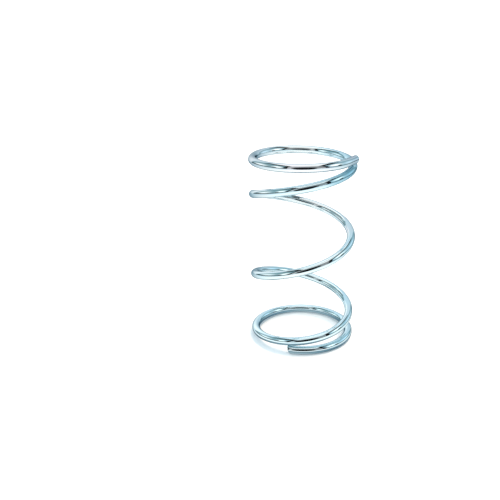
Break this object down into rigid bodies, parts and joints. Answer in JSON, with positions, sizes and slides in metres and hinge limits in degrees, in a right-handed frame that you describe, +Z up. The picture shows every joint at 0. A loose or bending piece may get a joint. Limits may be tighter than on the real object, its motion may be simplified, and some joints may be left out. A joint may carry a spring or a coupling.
{
  "type": "shock spring",
  "caption": "Coil compression spring of round wire with closed unground ends and wide open turns between them, slipped over a damper and seated at both ends.",
  "frame": {"origin": "the point on the coil's axis that is level with the underside of the lower closed turn, where the spring rests", "axes": "+Z up along the coil's axis to the other end; -Y faces the viewer and +X is to the viewer's right, with the lower wire end at the front and the upper wire end at the right"},
  "size_m": [0.032, 0.032, 0.058],
  "materials": {
    "plated_wire": "spring steel wire, bright zinc plate with a clear blue passivate, smooth and glossy"
  },
  "bodies": {
    "root": {"coil_spring": "plated_wire"}
  },
  "joints": []
}
